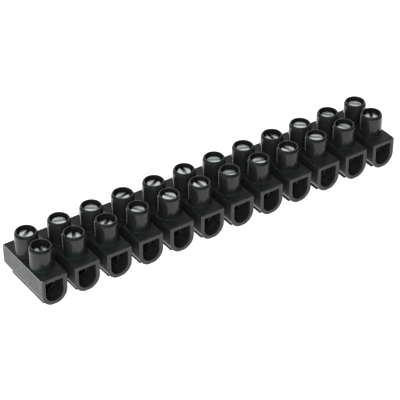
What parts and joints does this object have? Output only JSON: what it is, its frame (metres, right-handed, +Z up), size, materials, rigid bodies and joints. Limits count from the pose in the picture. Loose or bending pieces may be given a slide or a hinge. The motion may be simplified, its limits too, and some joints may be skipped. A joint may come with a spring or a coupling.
{
  "type": "screw terminal strip",
  "caption": "Black moulded terminal strip: a row of joined blocks, each with two round screw towers over a brass tube that clamps a wire from either side.",
  "frame": {"origin": "middle of the strip's footprint, on the plane of its base", "axes": "+X along the row of poles, +Y from the front mouths to the back mouths, +Z up along the towers"},
  "size_m": [0.1176, 0.02, 0.0152],
  "materials": {
    "moulded_plastic": "satin black moulded nylon",
    "tube_brass": "plain drawn brass, slightly dull",
    "screw_zinc": "bright zinc plating"
  },
  "bodies": {
    "strip": {"housing": "moulded_plastic", "terminal_tube_01": "tube_brass", "terminal_tube_02": "tube_brass", "terminal_tube_03": "tube_brass", "terminal_tube_04": "tube_brass", "terminal_tube_05": "tube_brass", "terminal_tube_06": "tube_brass", "terminal_tube_07": "tube_brass", "terminal_tube_08": "tube_brass", "terminal_tube_09": "tube_brass", "terminal_tube_10": "tube_brass", "terminal_tube_11": "tube_brass", "terminal_tube_12": "tube_brass"},
    "front_screw_01": {"front_screw_01": "screw_zinc"},
    "front_screw_02": {"front_screw_02": "screw_zinc"},
    "front_screw_03": {"front_screw_03": "screw_zinc"},
    "front_screw_04": {"front_screw_04": "screw_zinc"},
    "front_screw_05": {"front_screw_05": "screw_zinc"},
    "front_screw_06": {"front_screw_06": "screw_zinc"},
    "front_screw_07": {"front_screw_07": "screw_zinc"},
    "front_screw_08": {"front_screw_08": "screw_zinc"},
    "front_screw_09": {"front_screw_09": "screw_zinc"},
    "front_screw_10": {"front_screw_10": "screw_zinc"},
    "front_screw_11": {"front_screw_11": "screw_zinc"},
    "front_screw_12": {"front_screw_12": "screw_zinc"},
    "back_screw_01": {"back_screw_01": "screw_zinc"},
    "back_screw_02": {"back_screw_02": "screw_zinc"},
    "back_screw_03": {"back_screw_03": "screw_zinc"},
    "back_screw_04": {"back_screw_04": "screw_zinc"},
    "back_screw_05": {"back_screw_05": "screw_zinc"},
    "back_screw_06": {"back_screw_06": "screw_zinc"},
    "back_screw_07": {"back_screw_07": "screw_zinc"},
    "back_screw_08": {"back_screw_08": "screw_zinc"},
    "back_screw_09": {"back_screw_09": "screw_zinc"},
    "back_screw_10": {"back_screw_10": "screw_zinc"},
    "back_screw_11": {"back_screw_11": "screw_zinc"},
    "back_screw_12": {"back_screw_12": "screw_zinc"}
  },
  "joints": [
    {"name": "front_screw_01_travel", "type": "slide", "parent": "strip", "child": "front_screw_01", "axis": [0, 0, 1], "range_m": [-0.003, 0.00155]},
    {"name": "front_screw_02_travel", "type": "slide", "parent": "strip", "child": "front_screw_02", "axis": [0, 0, 1], "range_m": [-0.00335, 0.0012]},
    {"name": "front_screw_03_travel", "type": "slide", "parent": "strip", "child": "front_screw_03", "axis": [0, 0, 1], "range_m": [-0.00315, 0.0014]},
    {"name": "front_screw_04_travel", "type": "slide", "parent": "strip", "child": "front_screw_04", "axis": [0, 0, 1], "range_m": [-0.0035, 0.00105]},
    {"name": "front_screw_05_travel", "type": "slide", "parent": "strip", "child": "front_screw_05", "axis": [0, 0, 1], "range_m": [-0.0038, 0.00075]},
    {"name": "front_screw_06_travel", "type": "slide", "parent": "strip", "child": "front_screw_06", "axis": [0, 0, 1], "range_m": [-0.00365, 0.0009]},
    {"name": "front_screw_07_travel", "type": "slide", "parent": "strip", "child": "front_screw_07", "axis": [0, 0, 1], "range_m": [-0.0034, 0.00115]},
    {"name": "front_screw_08_travel", "type": "slide", "parent": "strip", "child": "front_screw_08", "axis": [0, 0, 1], "range_m": [-0.00355, 0.001]},
    {"name": "front_screw_09_travel", "type": "slide", "parent": "strip", "child": "front_screw_09", "axis": [0, 0, 1], "range_m": [-0.0036, 0.00095]},
    {"name": "front_screw_10_travel", "type": "slide", "parent": "strip", "child": "front_screw_10", "axis": [0, 0, 1], "range_m": [-0.00375, 0.0008]},
    {"name": "front_screw_11_travel", "type": "slide", "parent": "strip", "child": "front_screw_11", "axis": [0, 0, 1], "range_m": [-0.00355, 0.001]},
    {"name": "front_screw_12_travel", "type": "slide", "parent": "strip", "child": "front_screw_12", "axis": [0, 0, 1], "range_m": [-0.00345, 0.0011]},
    {"name": "back_screw_01_travel", "type": "slide", "parent": "strip", "child": "back_screw_01", "axis": [0, 0, 1], "range_m": [-0.0036, 0.00095]},
    {"name": "back_screw_02_travel", "type": "slide", "parent": "strip", "child": "back_screw_02", "axis": [0, 0, 1], "range_m": [-0.0037, 0.00085]},
    {"name": "back_screw_03_travel", "type": "slide", "parent": "strip", "child": "back_screw_03", "axis": [0, 0, 1], "range_m": [-0.0036, 0.00095]},
    {"name": "back_screw_04_travel", "type": "slide", "parent": "strip", "child": "back_screw_04", "axis": [0, 0, 1], "range_m": [-0.0035, 0.00105]},
    {"name": "back_screw_05_travel", "type": "slide", "parent": "strip", "child": "back_screw_05", "axis": [0, 0, 1], "range_m": [-0.0036, 0.00095]},
    {"name": "back_screw_06_travel", "type": "slide", "parent": "strip", "child": "back_screw_06", "axis": [0, 0, 1], "range_m": [-0.00375, 0.0008]},
    {"name": "back_screw_07_travel", "type": "slide", "parent": "strip", "child": "back_screw_07", "axis": [0, 0, 1], "range_m": [-0.0036, 0.00095]},
    {"name": "back_screw_08_travel", "type": "slide", "parent": "strip", "child": "back_screw_08", "axis": [0, 0, 1], "range_m": [-0.00365, 0.0009]},
    {"name": "back_screw_09_travel", "type": "slide", "parent": "strip", "child": "back_screw_09", "axis": [0, 0, 1], "range_m": [-0.0034, 0.00115]},
    {"name": "back_screw_10_travel", "type": "slide", "parent": "strip", "child": "back_screw_10", "axis": [0, 0, 1], "range_m": [-0.0038, 0.00075]},
    {"name": "back_screw_11_travel", "type": "slide", "parent": "strip", "child": "back_screw_11", "axis": [0, 0, 1], "range_m": [-0.00355, 0.001]},
    {"name": "back_screw_12_travel", "type": "slide", "parent": "strip", "child": "back_screw_12", "axis": [0, 0, 1], "range_m": [-0.00365, 0.0009]}
  ]
}
